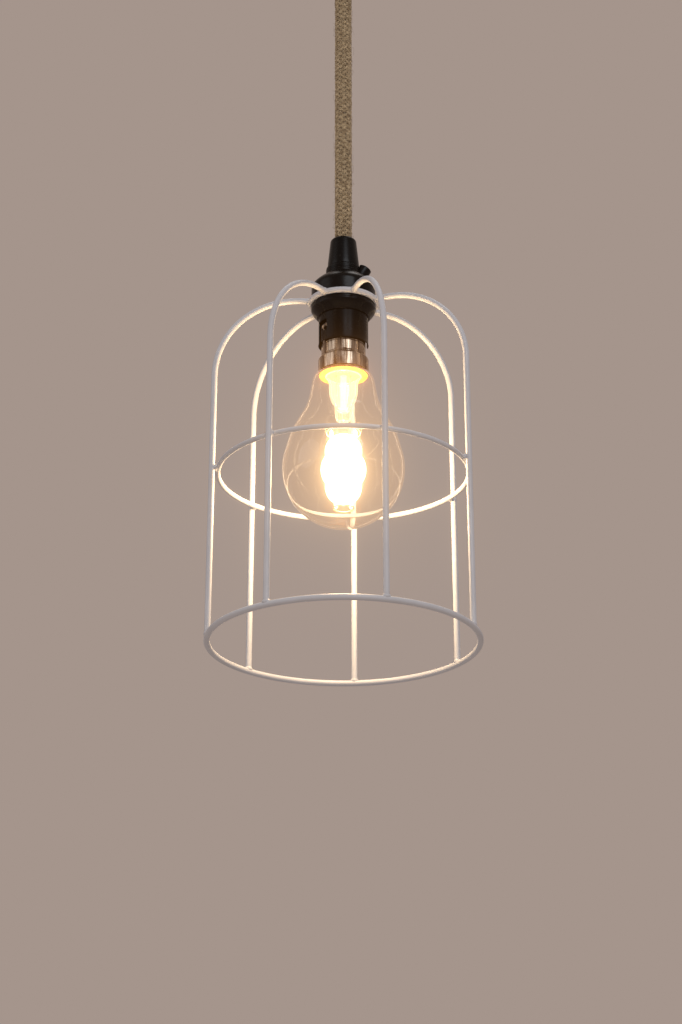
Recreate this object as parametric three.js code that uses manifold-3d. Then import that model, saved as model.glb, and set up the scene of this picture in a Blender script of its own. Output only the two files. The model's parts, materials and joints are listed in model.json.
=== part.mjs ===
// A pendant ceiling light: a ceiling rose, a short drop of woven cord, a black bayonet lampholder,
// a clear filament lamp and a round cage of white wire that the lampholder's shade ring holds.
// Millimetres, +Z up. The origin is the centre of the rose's face against the ceiling.
import * as THREE from "three";
import { mergeVertices } from "three/addons/utils/BufferGeometryUtils.js";
import Module from "manifold-3d";

const wasm = await Module();
wasm.setup();

// ---------------------------------------------------------------- driving dimensions
const GAP = 0.3;                // clearance kept between pieces that touch
const CLAMP_Z = -238;           // height of the cage's top ring, clamped in the lampholder

const ROSE = { radius: 40, depth: 30, wall: 1.2, plateRadius: 37, plate: 1.5, screwZ: -8 };
const GLAND = { mouthZ: -48, bore: 4.9, mouth: 6.3, radius: 8.2, spigot: 6 };
const CORD = { radius: 4.25, pivotZ: -46, sides: 10, endZ: CLAMP_Z + 12.6 };
const CORD_ROUTE = [
  [0, 0, -45], [0, 0, -60], [0, 0, -80], [0, 0, -100], [0, 0, -120],
  [0, 0, -140], [0, 0, -160], [0, 0, -180], [0, 0, -200], [0, 0, CORD.endZ],
];
const CORE = { radius: 0.9, ring: 1.9 };

const HOLDER = { barrelRadius: 11.85, barrelBore: 11.35, rimDrop: 23.5, insertRadius: 11 };
const SHADE_RING = { radius: 16.15, bore: 12.3, topDrop: 1.8, height: 6.5 };
const PLUNGER = { radius: 2.6, offset: 4.7, travel: 3 };

const LAMP = { capRadius: 11, skirtRadius: 12.5, bulbRadius: 30, bulbDrop: 89, wall: 0.8 };
const PIN = { radius: 1, reach: 13.4, drop: 16.5, azimuth: 220, turn: 20 };
const FILAMENT = { count: 4, radius: 1, topRadius: 8.4, bottomRadius: 5, topDrop: 70.8, length: 38 };

const WIRE = { radius: 1.5, middleRadius: 1.25, sides: 6 };
const CAGE = {
  topRadius: 16.4, springRadius: 64, footRadius: 65.2, springDrop: 44, middleDrop: 92, bottomDrop: 178.1,
};
// Each rib is bent and placed by hand: [bearing from +Y towards +X, radius of its shoulder].
const RIBS = [[4.9, 44], [58.7, 38], [111, 39.5], [162.5, 44], [213, 44], [262, 44], [314.2, 43]];

// ---------------------------------------------------------------- materials
const finish = (color, roughness, metalness) =>
  new THREE.MeshStandardMaterial({ color, roughness, metalness });
const BLACK_METAL = finish(0x17171a, 0.35, 0.6);
const WHITE_PLASTIC = finish(0xe6e2da, 0.5, 0);
const WHITE_WIRE = finish(0xdedfe2, 0.45, 0.1);
const JUTE = finish(0x8d7a5a, 0.95, 0);
const STEEL = finish(0xb9b9ba, 0.35, 1);
const NICKEL = finish(0xcfc6b6, 0.2, 1);
const BRASS = finish(0xb8944a, 0.3, 1);
const LAMP_GLASS = finish(0xf3e6cf, 0.03, 0);
const BLACK_GLASS = finish(0x101014, 0.1, 0);
const GLOW = finish(0xffe6b0, 0.5, 0);
const CEMENT = finish(0xe0b060, 0.8, 0);
const CORE_COLOURS = {
  live: finish(0x6a3d1f, 0.5, 0),
  neutral: finish(0x2e5fa3, 0.5, 0),
  earth: finish(0x5f9a3a, 0.5, 0),
};

// ---------------------------------------------------------------- helpers
const group = new THREE.Group();
group.name = "pendant_light";

function add(name, geometry, material, position = [0, 0, 0], turn = 0) {
  const mesh = new THREE.Mesh(geometry, material);
  mesh.name = name;
  mesh.position.set(...position);
  mesh.rotation.z = turn;
  group.add(mesh);
  return mesh;
}

const radians = THREE.MathUtils.degToRad;
// A place at a distance from the axis, its bearing turning from +Y towards +X.
const around = (radius, bearing, z) => [
  radius * Math.sin(radians(bearing)), radius * Math.cos(radians(bearing)), z,
];
const drop = (distance) => CLAMP_Z - distance;

// A solid turned about the Z axis from [radius, z] points that run up the outside and back inside.
function turned(outline, segments = 24) {
  const points = outline.map(([r, z]) => new THREE.Vector2(r, z));
  return new THREE.LatheGeometry(points, segments).rotateX(Math.PI / 2);
}

// A turned shell, whose outline closes on itself away from the axis.
const turnedShell = (outline, segments) => turned([...outline, outline[0]], segments);

// A turned solid whose outline is given on the outside only, from its lowest to its highest point.
const turnedSolid = (outside, segments) =>
  turned([[0, outside[0][1]], ...outside, [0, outside[outside.length - 1][1]]], segments);

function arcPoints(centreR, centreZ, radius, fromDegrees, toDegrees, count) {
  const points = [];
  for (let i = 0; i <= count; i++) {
    const angle = radians(fromDegrees + ((toDegrees - fromDegrees) * i) / count);
    points.push([centreR + radius * Math.cos(angle), centreZ + radius * Math.sin(angle)]);
  }
  return points;
}

function circleShape(radius, sides) {
  const points = [];
  for (let i = 0; i < sides; i++) {
    const angle = (2 * Math.PI * i) / sides;
    points.push(new THREE.Vector2(radius * Math.cos(angle), radius * Math.sin(angle)));
  }
  return new THREE.Shape(points);
}

// A round wire or cord along a curve, with flat ends.
const wire = (curve, radius, sides, steps) => new THREE.ExtrudeGeometry(
  circleShape(radius, sides), { steps, bevelEnabled: false, extrudePath: curve });

const through = (points) => new THREE.CatmullRomCurve3(points.map((p) => new THREE.Vector3(...p)));

// A cylinder between two places, for pins and for cutting holes.
function rod(from, to, radius, sides = 16) {
  const a = new THREE.Vector3(...from);
  const b = new THREE.Vector3(...to);
  const geometry = new THREE.CylinderGeometry(radius, radius, a.distanceTo(b), sides);
  const direction = b.clone().sub(a).normalize();
  const swing = new THREE.Quaternion().setFromUnitVectors(new THREE.Vector3(0, 1, 0), direction);
  return geometry.applyQuaternion(swing).translate(...a.add(b).multiplyScalar(0.5).toArray());
}

const block = (size, centre) => new THREE.BoxGeometry(...size).translate(...centre);

function manifoldOf(geometry) {
  const bare = geometry.clone();
  bare.deleteAttribute("normal");
  bare.deleteAttribute("uv");
  const merged = mergeVertices(bare, 1e-4);
  return new wasm.Manifold(new wasm.Mesh({
    numProp: 3,
    vertProperties: new Float32Array(merged.attributes.position.array),
    triVerts: new Uint32Array(merged.index.array),
  }));
}

function geometryOf(solid) {
  const { vertProperties, triVerts } = solid.getMesh();
  const geometry = new THREE.BufferGeometry();
  geometry.setAttribute("position", new THREE.BufferAttribute(vertProperties, 3));
  geometry.setIndex(new THREE.BufferAttribute(triVerts, 1));
  geometry.computeVertexNormals();
  return geometry;
}

const cut = (geometry, ...tools) =>
  geometryOf(tools.reduce((solid, tool) => solid.subtract(manifoldOf(tool)), manifoldOf(geometry)));
const join = (geometry, ...others) =>
  geometryOf(others.reduce((solid, other) => solid.add(manifoldOf(other)), manifoldOf(geometry)));

// ---------------------------------------------------------------- ceiling rose
const screwHoles = (from, to) => [-1, 1].map((side) =>
  rod([side * from, 0, ROSE.screwZ], [side * to, 0, ROSE.screwZ], 1.9, 12));

function roseBackplate() {
  const disc = rod([0, 0, -ROSE.plate], [0, 0, 0], ROSE.plateRadius, 32);
  const tabs = [-1, 1].map((side) => block([1.5, 12, 14], [side * (ROSE.plateRadius - 1.5), 0, -7.5]));
  const cableHole = rod([0, 16, -2], [0, 16, 1], 6, 16);
  const slots = [-1, 1].map((side) => block([5.2, 11, 6], [side * 25.5, 0, 0]));
  return cut(join(disc, ...tabs), cableHole, ...slots, ...screwHoles(30, 40));
}

function roseCover() {
  const corner = 9;
  const floor = -ROSE.depth;
  const outside = arcPoints(ROSE.radius - corner, floor + corner, corner, -90, 0, 3);
  const inside = arcPoints(ROSE.radius - corner, floor + corner, corner - ROSE.wall, 0, -90, 3);
  const hole = GLAND.spigot + GAP;
  const shell = turnedShell([[hole, floor], ...outside, [ROSE.radius, -0.2],
    [ROSE.radius - ROSE.wall, -0.2], ...inside, [hole, floor + ROSE.wall]], 32);
  return cut(shell, ...screwHoles(36, 44));
}

function coverScrew(side) {
  const from = ROSE.plateRadius - 3.5;
  const head = ROSE.radius + GAP;
  const screw = turnedSolid([
    [1.5, from], [1.5, head], [3.2, head], [2.9, head + 1.1], [1.6, head + 1.8],
  ], 12);
  return screw.rotateY(side * Math.PI / 2).translate(0, 0, ROSE.screwZ);
}

function terminalBlock() {
  const bores = [-9.5, 0, 9.5].map((x) => rod([x, -15, 0], [x, 1, 0], 2.2, 10));
  return cut(block([30, 14, 10], [0, -7, 0]), ...bores);
}

function cordGland() {
  const top = -ROSE.depth + 5.5;
  const under = -ROSE.depth - GAP;
  const body = turnedShell([
    [GLAND.mouth, GLAND.mouthZ], [GLAND.radius - 1, GLAND.mouthZ], [GLAND.radius, GLAND.mouthZ + 1.5],
    [GLAND.radius, under - 3], [GLAND.radius + 1.6, under - 2], [GLAND.radius + 1.6, under],
    [GLAND.spigot, under], [GLAND.spigot, top], [GLAND.bore, top], [GLAND.bore, CORD.pivotZ + 1.5],
  ], 20);
  return cut(body, rod([0, -3, -39], [0, -12, -39], 1.6, 12));
}

function glandNut() {
  const seat = -ROSE.depth + ROSE.wall + GAP;
  const bore = rod([0, 0, seat - 1], [0, 0, seat + 4], GLAND.spigot + GAP, 20);
  return cut(rod([0, 0, seat], [0, 0, seat + 3], 9.5, 6), bore);
}

add("rose_backplate", roseBackplate(), STEEL);
add("rose_cover", roseCover(), BLACK_METAL);
add("rose_cover_screw_left", coverScrew(-1), BLACK_METAL);
add("rose_cover_screw_right", coverScrew(1), BLACK_METAL);
add("terminal_block", terminalBlock(), WHITE_PLASTIC, [0, 5, -7.5]);
add("cord_gland", cordGland(), BLACK_METAL);
add("gland_nut", glandNut(), STEEL);
add("gland_screw", rod([0, -CORD.radius - GAP, -39], [0, -GLAND.radius - 0.5, -39], 1.3, 12), STEEL);

// ---------------------------------------------------------------- cord
const ballSeat = () =>
  new THREE.SphereGeometry(CORD.radius + GAP + 0.05, 16, 10).translate(0, 0, CORD.pivotZ);
const cordRod = (from, to) => rod([0, 0, from], [0, 0, to], CORD.radius, CORD.sides);

const cordDrop = wire(through(CORD_ROUTE), CORD.radius, CORD.sides, 14);
add("cord_tail", cut(cordRod(CORD.pivotZ + 1, -20), ballSeat()), JUTE);
add("cord_bend", new THREE.SphereGeometry(CORD.radius, 12, 8), JUTE, [0, 0, CORD.pivotZ]);
add("cord_drop", cut(cordDrop, ballSeat()), JUTE);

// The three insulated cores, from the cord's two ends to the terminals.
const CORES = [["live", 240], ["neutral", 120], ["earth", 0]];
for (const [name, bearing] of CORES) {
  const x = { live: -9.5, neutral: 9.5, earth: 0 }[name];
  const [ax, ay] = around(CORE.ring, bearing, 0);
  const route = [
    [ax, ay, -19.6], [ax, ay, -17.6], [x * 0.6, -12 + ay, -13], [x, -13, -9], [x, -10, -7.5], [x, -5, -7.5],
  ];
  add(`rose_core_${name}`, wire(through(route), CORE.radius, 6, 12), CORE_COLOURS[name]);
}

// ---------------------------------------------------------------- lampholder
function gripSleeve() {
  return turnedShell([
    [4.6, drop(-13.4)], [5.6, drop(-13.4)], [5.6, drop(-19.4)], [7.95, drop(-19.4)], [7.85, drop(-21.5)],
    [6.55, drop(-34.2)], [5.9, drop(-35.4)], [4.6, drop(-35.4)],
  ], 24);
}

function gripCollet() {
  const ring = turnedShell([
    [4.6, drop(-10.6)], [5.7, drop(-10.6)], [5.7, drop(-13.1)], [4.6, drop(-13.1)],
  ], 20);
  return cut(ring, block([6, 1.2, 6], [-5.2, 0, drop(-11.8)]));
}

// The screw boss stands square to the cap's shoulder.
const BOSS = { centre: [11.1, 0, drop(-19.5)], lean: 31, radius: 3.4 };
function alongBoss(distance) {
  const [x, y, z] = BOSS.centre;
  return [x + distance * Math.sin(radians(BOSS.lean)), y, z + distance * Math.cos(radians(BOSS.lean))];
}

function holderCap() {
  const shell = turnedShell([
    [12.25, drop(-1.8)], [16, drop(-1.8)], [16, drop(-8.1)], [15.4, drop(-9.7)], [13.1, drop(-12.1)],
    [9.3, drop(-14.7)], [8.7, drop(-15.2)], [8.7, drop(-19.1)], [6, drop(-19.1)], [6, drop(-13.6)],
    [8.4, drop(-13.1)], [12, drop(-10.5)], [14, drop(-8)], [14, drop(-5.8)], [12.25, drop(-5.2)],
  ], 24);
  const sleeveRoom = turnedSolid([
    [6.6, drop(-10)], [6.6, drop(-18.9)], [8.3, drop(-18.9)], [8.3, drop(-24)],
  ], 24);
  const shoulderHollow = turnedSolid([
    [14, drop(-6)], [14, drop(-8)], [12, drop(-10.5)], [6.2, drop(-13.5)],
  ], 24);
  const boss = cut(rod(alongBoss(-6.5), alongBoss(0), BOSS.radius, 16), sleeveRoom, shoulderHollow);
  return cut(join(shell, boss), rod(alongBoss(-6.5), alongBoss(1), 1.9, 12));
}

function holderInsert() {
  const radius = HOLDER.insertRadius;
  const body = turnedSolid([[radius, drop(3.3)], [radius, drop(-5)], [9.4, drop(-6.5)]], 20);
  const bores = [-1, 1].map((side) => {
    const [x, y] = plungerPlace(side);
    return rod([x, y, drop(4)], [x, y, drop(-5.2)], PLUNGER.radius + GAP + 0.1, 16);
  });
  const screwHoles = [-1, 1].map((side) => {
    const [x, y] = terminalPlace(side);
    return rod([x, y, drop(-1)], [x, y, drop(-8)], 1.5, 12);
  });
  return cut(body, ...bores, ...screwHoles);
}

const pinPlace = (radius, side) => {
  const angle = radians(PIN.azimuth + (side < 0 ? 180 : 0));
  return [radius * Math.cos(angle), radius * Math.sin(angle)];
};
const crossPlace = (radius, side) => {
  const angle = radians(PIN.azimuth + 90 + (side < 0 ? 180 : 0));
  return [radius * Math.cos(angle), radius * Math.sin(angle)];
};
const plungerPlace = (side) => crossPlace(PLUNGER.offset, side);
const terminalPlace = (side) => pinPlace(6.6, side);

function terminalScrew(side) {
  const [x, y] = terminalPlace(side);
  const screw = turnedSolid([[1.1, drop(-2.5)], [1.1, drop(-6.8)], [2, drop(-6.8)], [2, drop(-8)]], 12);
  return screw.translate(x, y, 0);
}

// The thin barrel has two slots: each runs up from the rim, then round to where a lamp pin rests.
function holderBarrel() {
  const { barrelRadius: outer, barrelBore: inner, rimDrop } = HOLDER;
  const shell = turnedShell([
    [inner, drop(rimDrop)], [outer, drop(rimDrop)], [outer, drop(-4.8)], [inner, drop(-4.8)],
    [inner, drop(3.6)], [9.8, drop(3.9)], [9.8, drop(4.6)], [inner, drop(4.9)],
  ], 36);
  const room = PIN.radius + GAP;
  const low = PIN.drop + room;
  const high = PIN.drop - PLUNGER.travel - room;
  const halfWidth = THREE.MathUtils.radToDeg(room / inner) + 0.6;
  const tools = [];
  for (const seat of [PIN.azimuth, PIN.azimuth + 180]) {
    const entry = seat - PIN.turn;
    tools.push(wedge(entry - halfWidth, entry + halfWidth, drop(rimDrop + 1), drop(high)));
    tools.push(wedge(entry - halfWidth, seat + halfWidth, drop(low), drop(high)));
  }
  return cut(shell, ...tools);
}

// A cutter between two angles about the axis and two heights.
function wedge(fromDegrees, toDegrees, low, high) {
  const near = 10;
  const far = 15;
  const outline = [
    ...arcPoints(0, 0, far, fromDegrees, toDegrees, 6),
    ...arcPoints(0, 0, near, toDegrees, fromDegrees, 6),
  ];
  const shape = new THREE.Shape(outline.map(([x, y]) => new THREE.Vector2(x, y)));
  const sector = new THREE.ExtrudeGeometry(shape, { depth: high - low, bevelEnabled: false });
  return sector.translate(0, 0, low);
}

function plunger(side) {
  const [x, y] = plungerPlace(side);
  return turnedSolid([
    [1.2, drop(10.9)], [2.1, drop(10.4)], [2.3, drop(9.6)], [2.3, drop(3)], [PLUNGER.radius, drop(2.6)],
    [PLUNGER.radius, drop(1.2)],
  ], 16).translate(x, y, 0);
}

// A contact spring is drawn as the plain sleeve that its coil fills.
function contactSpring(side) {
  const [x, y] = plungerPlace(side);
  const sleeve = turnedShell([
    [1.6, drop(0.9)], [2.4, drop(0.9)], [2.4, drop(-4.9)], [1.6, drop(-4.9)],
  ], 12);
  return sleeve.translate(x, y, 0);
}

add("cord_grip_sleeve", gripSleeve(), BLACK_METAL);
add("cord_grip_collet", gripCollet(), WHITE_PLASTIC);
add("holder_cap", holderCap(), BLACK_METAL);
add("cap_lock_screw", rod(alongBoss(-4.8), alongBoss(-0.6), 1.6, 10), STEEL);
add("holder_insert", holderInsert(), WHITE_PLASTIC);
add("holder_barrel", holderBarrel(), BLACK_METAL);
for (const [name, side] of [["live", 1], ["neutral", -1]]) {
  add(`terminal_screw_${name}`, terminalScrew(side), BRASS);
  add(`contact_spring_${name}`, contactSpring(side), STEEL);
  add(`contact_plunger_${name}`, plunger(side), BRASS);
}

// Each core leaves the cord's end and bends out to its terminal, or the earth core to the metal cap.
const HOLDER_CORES = [
  ["live", terminalPlace(1)], ["neutral", terminalPlace(-1)], ["earth", crossPlace(11, 1)],
];
for (const [name, [x, y]] of HOLDER_CORES) {
  const reach = Math.hypot(x, y);
  const [ux, uy] = [x / reach, y / reach];
  const end = name === "earth" ? 10.8 : reach - 3.3;
  const away = (radius, raised) => [ux * radius, uy * radius, drop(-raised)];
  const middle = name === "earth" ? away(6, 9) : away(2.6, 9.8);
  const route = [away(CORE.ring, 12.2), away(CORE.ring, 11.4), middle, away(end, 8)];
  add(`holder_core_${name}`, wire(through(route), CORE.radius, 6, 6), CORE_COLOURS[name]);
}

// ---------------------------------------------------------------- shade ring
function shadeRing() {
  const { radius, bore, topDrop, height } = SHADE_RING;
  const foot = drop(topDrop + height);
  return turnedShell([
    [bore, foot], [bore + 0.8, foot], [13.9, drop(7.2)], [15.4, drop(5.4)],
    [radius, drop(3.5)], [radius, drop(topDrop)], [bore, drop(topDrop)],
  ], 28);
}
add("shade_ring", shadeRing(), BLACK_METAL);

// ---------------------------------------------------------------- lamp
function lampGlass() {
  const centre = drop(LAMP.bulbDrop);
  const neck = [[12.1, drop(38.4)], [13.7, drop(40)], [15, drop(43)], [16.2, drop(48)], [17.1, drop(53)],
    [18.9, drop(58.5)], [22, drop(64.5)], [25.8, drop(71.5)]];
  const ball = arcPoints(0, centre, LAMP.bulbRadius, -90, 15, 7).slice(1);
  const innerBall = arcPoints(0, centre, LAMP.bulbRadius - LAMP.wall, -90, 15, 7).slice(1);
  const inside = neck.map(([r, z]) => [r - LAMP.wall, z]);
  return turned([[0, centre - LAMP.bulbRadius], ...ball, ...neck.reverse(),
    ...inside, ...innerBall.reverse(), [0, centre - LAMP.bulbRadius + LAMP.wall]], 24);
}

function lampCapShell() {
  const { capRadius: r, skirtRadius: skirt } = LAMP;
  return turnedShell([
    [skirt - 0.5, drop(38.1)], [skirt, drop(38.1)], [skirt, drop(30.8)], [r, drop(29.5)],
    [r, drop(12.8)], [r - 0.8, drop(12)], [8.7, drop(12)], [8.7, drop(12.5)],
    [r - 0.5, drop(13.2)], [r - 0.5, drop(29.8)], [skirt - 0.5, drop(31.1)],
  ], 26);
}

// The black glass plug in the cap's end stops short of the two contacts.
function capInsulator() {
  const body = turnedSolid([[8.3, drop(15)], [8.3, drop(11.9)]], 20);
  const holes = [-1, 1].map((side) => {
    const [x, y] = plungerPlace(side);
    return rod([x, y, drop(16)], [x, y, drop(11)], 2.4, 14);
  });
  return cut(body, ...holes);
}

function capContact(side) {
  const [x, y] = plungerPlace(side);
  return turnedSolid([[2.1, drop(14.6)], [2.1, drop(11.6)], [1.2, drop(11.2)]], 14).translate(x, y, 0);
}

function bayonetPin(side) {
  const [x0, y0] = pinPlace(LAMP.capRadius + 0.25, side);
  const [x1, y1] = pinPlace(PIN.reach, side);
  return rod([x0, y0, drop(PIN.drop)], [x1, y1, drop(PIN.drop)], PIN.radius, 12);
}

// The stem is a flared glass tube, closed and pinched flat where the lead wires leave it.
function glassStem() {
  return turnedSolid([
    [3.2, drop(64.6)], [4.1, drop(62)], [4.3, drop(55)], [6.4, drop(52.5)], [7, drop(50)],
    [7, drop(43)], [9, drop(40)],
  ], 20);
}

// Yellow cement fills the skirt and closes the glass's neck round the stem.
function lampCement() {
  return turnedSolid([
    [12.2, drop(39.7)], [11, drop(38.6)], [11, drop(38.1)], [11.7, drop(38)], [11.7, drop(33.8)],
  ], 26);
}

add("lamp_glass", lampGlass(), LAMP_GLASS);
add("lamp_cap_shell", lampCapShell(), NICKEL);
add("lamp_cap_insulator", capInsulator(), BLACK_GLASS);
add("lamp_contact_live", capContact(1), STEEL);
add("lamp_contact_neutral", capContact(-1), STEEL);
add("bayonet_pin_left", bayonetPin(1), NICKEL);
add("bayonet_pin_right", bayonetPin(-1), NICKEL);
add("lamp_driver_board", block([14, 5, 16], [0, 0, drop(25.5)]), WHITE_PLASTIC);
add("glass_stem", glassStem(), LAMP_GLASS);
add("lamp_cement", lampCement(), CEMENT);

// The light sticks hang in a slight taper round the stem's end.
for (let k = 0; k < FILAMENT.count; k++) {
  const bearing = 45 + (360 * k) / FILAMENT.count;
  const top = around(FILAMENT.topRadius, bearing, drop(FILAMENT.topDrop));
  const bottom = around(FILAMENT.bottomRadius, bearing, drop(FILAMENT.topDrop + FILAMENT.length));
  add(`led_filament_${k + 1}`, rod(bottom, top, FILAMENT.radius, 8), GLOW);
}

// A yoke joins two sticks at the top, a lead wire loops from the stem to each yoke, and one ring joins
// all four below.
for (const [name, side] of [["left", -1], ["right", 1]]) {
  const height = drop(FILAMENT.topDrop) + 0.8;
  const bearings = [45, 67.5, 90, 112.5, 135];
  const arc = bearings.map((bearing) => around(FILAMENT.topRadius, side * bearing, height));
  add(`filament_yoke_${name}`, wire(through(arc), 0.35, 5, 6), NICKEL);
  const loop = [[side * 2.2, 0, drop(64.9)], [side * 3.4, 0, drop(66.6)], [side * 6.4, 0, drop(65.4)],
    [side * 8.6, 0, drop(66.4)], [side * 8.7, 0, drop(69)]];
  add(`lead_wire_${name}`, wire(through(loop), 0.35, 5, 12), NICKEL);
}
const bridge = new THREE.TorusGeometry(FILAMENT.bottomRadius, 0.35, 5, 16);
add("filament_bridge", bridge, NICKEL, [0, 0, drop(FILAMENT.topDrop + FILAMENT.length + 0.9)]);

// ---------------------------------------------------------------- cage
// A rib runs out level from the top ring, round its shoulder and down to the bottom ring.
class RibCurve extends THREE.Curve {
  constructor(shoulder) {
    super();
    this.shoulder = shoulder;
  }

  getPoint(t, target = new THREE.Vector3()) {
    const { shoulder } = this;
    const start = CAGE.topRadius + WIRE.radius + GAP;
    const centreR = CAGE.springRadius - shoulder;
    const level = centreR - start;
    const arc = (shoulder * Math.PI) / 2;
    const foot = drop(CAGE.bottomDrop) + WIRE.radius + GAP;
    const spring = CLAMP_Z - shoulder;
    const side = Math.hypot(spring - foot, CAGE.footRadius - CAGE.springRadius);
    const along = t * (level + arc + side);
    if (along < level) return target.set(start + along, 0, CLAMP_Z);
    if (along < level + arc) {
      const angle = (along - level) / shoulder;
      return target.set(centreR + shoulder * Math.sin(angle), 0, spring + shoulder * Math.cos(angle));
    }
    const share = (along - level - arc) / side;
    const radius = THREE.MathUtils.lerp(CAGE.springRadius, CAGE.footRadius, share);
    return target.set(radius, 0, THREE.MathUtils.lerp(spring, foot, share));
  }
}

const hoop = (radius, wireRadius, segments) =>
  new THREE.TorusGeometry(radius, wireRadius, WIRE.sides, segments);
const middleRibRadius = THREE.MathUtils.mapLinear(CAGE.middleDrop, CAGE.springDrop, CAGE.bottomDrop,
  CAGE.springRadius, CAGE.footRadius);
const middleRadius = middleRibRadius - WIRE.radius - WIRE.middleRadius - GAP - 0.1;
const middleRing = hoop(middleRadius, WIRE.middleRadius, 42);
const bottomRing = hoop(CAGE.footRadius, WIRE.radius, 42);

add("cage_top_ring", hoop(CAGE.topRadius, WIRE.radius, 24), WHITE_WIRE, [0, 0, CLAMP_Z]);
add("cage_middle_ring", middleRing, WHITE_WIRE, [0, 0, drop(CAGE.middleDrop)]);
add("cage_bottom_ring", bottomRing, WHITE_WIRE, [0, 0, drop(CAGE.bottomDrop)]);
RIBS.forEach(([bearing, shoulder], k) => {
  const rib = wire(new RibCurve(shoulder), WIRE.radius, WIRE.sides, 18);
  add(`cage_rib_${k + 1}`, rib, WHITE_WIRE, [0, 0, 0], radians(90 - bearing));
});

export default group;
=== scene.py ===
"""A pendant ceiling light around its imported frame: woven jute cord, black bayonet lampholder,
clear filament lamp and a round cage of white wire. Everything is in metres, in the frame's own axes."""
import json
import math
import random

import bmesh
import bpy
from mathutils import Matrix, Vector

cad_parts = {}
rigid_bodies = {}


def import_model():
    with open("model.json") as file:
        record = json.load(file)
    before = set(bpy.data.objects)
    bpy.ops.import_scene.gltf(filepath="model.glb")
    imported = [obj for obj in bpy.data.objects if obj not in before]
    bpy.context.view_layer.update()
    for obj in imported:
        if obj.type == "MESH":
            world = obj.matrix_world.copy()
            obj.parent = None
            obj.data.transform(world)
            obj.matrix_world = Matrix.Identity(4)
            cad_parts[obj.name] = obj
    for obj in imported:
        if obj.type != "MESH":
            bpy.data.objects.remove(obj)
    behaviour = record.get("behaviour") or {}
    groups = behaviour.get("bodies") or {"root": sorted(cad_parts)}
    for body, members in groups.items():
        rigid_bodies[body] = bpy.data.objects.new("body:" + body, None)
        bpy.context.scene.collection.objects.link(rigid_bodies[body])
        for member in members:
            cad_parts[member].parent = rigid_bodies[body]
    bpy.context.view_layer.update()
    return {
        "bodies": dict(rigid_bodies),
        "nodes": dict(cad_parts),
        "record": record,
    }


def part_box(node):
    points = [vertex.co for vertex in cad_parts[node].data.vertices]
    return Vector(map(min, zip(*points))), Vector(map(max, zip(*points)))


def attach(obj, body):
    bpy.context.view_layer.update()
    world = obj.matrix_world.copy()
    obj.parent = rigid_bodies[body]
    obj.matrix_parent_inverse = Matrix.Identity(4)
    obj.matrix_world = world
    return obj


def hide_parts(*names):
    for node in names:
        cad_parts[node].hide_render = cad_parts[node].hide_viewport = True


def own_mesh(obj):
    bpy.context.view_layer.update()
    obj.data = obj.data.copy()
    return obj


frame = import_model()

MM = 0.001


def middle(node):
    low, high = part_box(node)
    return (low + high) / 2


# Heights that the frame gives.
CLAMP_Z = middle("cage_top_ring").z
MIDDLE_Z = middle("cage_middle_ring").z
BOTTOM_Z = middle("cage_bottom_ring").z
PIVOT_Z = middle("cord_bend").z
GLAND_MOUTH_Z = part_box("cord_gland")[0].z
COVER_FLOOR_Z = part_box("rose_cover")[0].z
CORD_END_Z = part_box("cord_drop")[0].z


def drop(distance):
    """A height below the clamped top ring, from millimetres."""
    return CLAMP_Z - distance * MM


def level(distance):
    """A height in the frame's own axis, from millimetres."""
    return distance * MM


# ------------------------------------------------------------------ camera
CAMERA_PITCH = math.radians(21.13)      # how far it looks up
CAMERA_DISTANCE = 1.3167
CAMERA_ASIDE = -0.0012
CAMERA_UNDER = 0.0183       # its aim is this far below the cage's middle ring
CAMERA_LENS = 94.9          # mm


def make_camera():
    data = bpy.data.cameras.new("camera")
    data.lens = CAMERA_LENS
    data.sensor_width = 36      # mm
    data.clip_start = 0.02
    camera = bpy.data.objects.new("camera", data)
    bpy.context.scene.collection.objects.link(camera)
    ahead = Vector((0, math.cos(CAMERA_PITCH), math.sin(CAMERA_PITCH)))
    up = Vector((0, -math.sin(CAMERA_PITCH), math.cos(CAMERA_PITCH)))
    aim = Vector((CAMERA_ASIDE, 0, MIDDLE_Z)) - up * CAMERA_UNDER
    camera.location = aim - ahead * CAMERA_DISTANCE
    camera.rotation_euler = (math.radians(90) + CAMERA_PITCH, 0, 0)
    bpy.context.scene.camera = camera


make_camera()


# ------------------------------------------------------------------ mesh helpers
CREASE = 32             # degrees, above which an edge stays sharp
WIRE_CREASE = 50
BLOWN_CREASE = 60


def piece(name, bm, material, smooth_angle=CREASE):
    """A mesh object from a bmesh, its normals outwards and its edges smooth below an angle."""
    bmesh.ops.remove_doubles(bm, verts=bm.verts, dist=1e-7)
    bmesh.ops.recalc_face_normals(bm, faces=bm.faces)
    mesh = bpy.data.meshes.new(name)
    bm.to_mesh(mesh)
    bm.free()
    mesh.materials.append(material)
    obj = bpy.data.objects.new(name, mesh)
    bpy.context.scene.collection.objects.link(obj)
    smooth(mesh, smooth_angle)
    return obj


def smooth(mesh, angle):
    mesh.shade_smooth()
    mesh.set_sharp_from_angle(angle=math.radians(angle))


def fillet(points, radius, steps=4):
    """An outline with its corners rounded. A third value on a point sets its own radius."""
    out = []
    for i, point in enumerate(points):
        here = Vector(point[:2])
        size = point[2] if len(point) > 2 else radius
        if i in (0, len(points) - 1) or size == 0:
            out.append((here.x, here.y))
            continue
        before = Vector(points[i - 1][:2]) - here
        after = Vector(points[i + 1][:2]) - here
        reach = min(size, before.length * 0.45, after.length * 0.45)
        start = here + before.normalized() * reach
        end = here + after.normalized() * reach
        for k in range(steps + 1):
            t = k / steps
            spot = start * (1 - t) ** 2 + here * 2 * t * (1 - t) + end * t * t
            out.append((spot.x, spot.y))
    return out


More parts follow.
